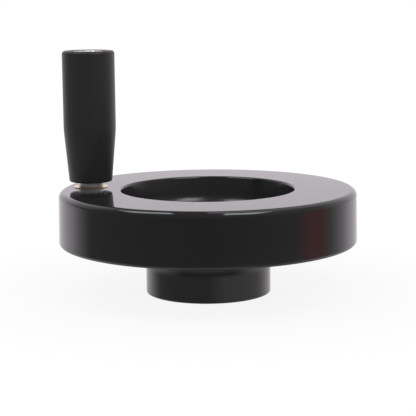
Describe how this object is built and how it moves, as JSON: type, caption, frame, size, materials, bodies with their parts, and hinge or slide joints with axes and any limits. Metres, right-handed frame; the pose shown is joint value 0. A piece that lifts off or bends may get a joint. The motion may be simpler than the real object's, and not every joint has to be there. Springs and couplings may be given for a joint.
{
  "type": "machine handwheel",
  "caption": "Dished solid handwheel with a stepped hub, a keyed shaft bore and a revolving handle screwed into its rim.",
  "frame": {"origin": "centre of the hub's end face, which the wheel stands on", "axes": "+Z along the wheel's axis, from the hub towards the dished face; -X from the axis towards the handle"},
  "size_m": [0.125, 0.125, 0.1012],
  "materials": {
    "phenolic": "moulded, glossy black",
    "bush_steel": "turned",
    "brass": "turned",
    "plated_steel": "bright zinc plated",
    "grip_plastic": "moulded, matt black"
  },
  "bodies": {
    "wheel": {"wheel": "phenolic", "hub_bush": "bush_steel", "handle_insert": "brass"},
    "spindle": {"handle_spindle": "plated_steel"},
    "grip": {"handle_grip": "grip_plastic"}
  },
  "joints": [
    {"name": "handle_unscrew", "type": "slide", "parent": "wheel", "child": "spindle", "axis": [0, 0, 1], "range_m": [0, 0.03]},
    {"name": "grip_spin", "type": "hinge", "parent": "spindle", "child": "grip", "pos_m": [-0.05, 0, 0.0737], "axis": [0, 0, 1], "continuous": true}
  ]
}
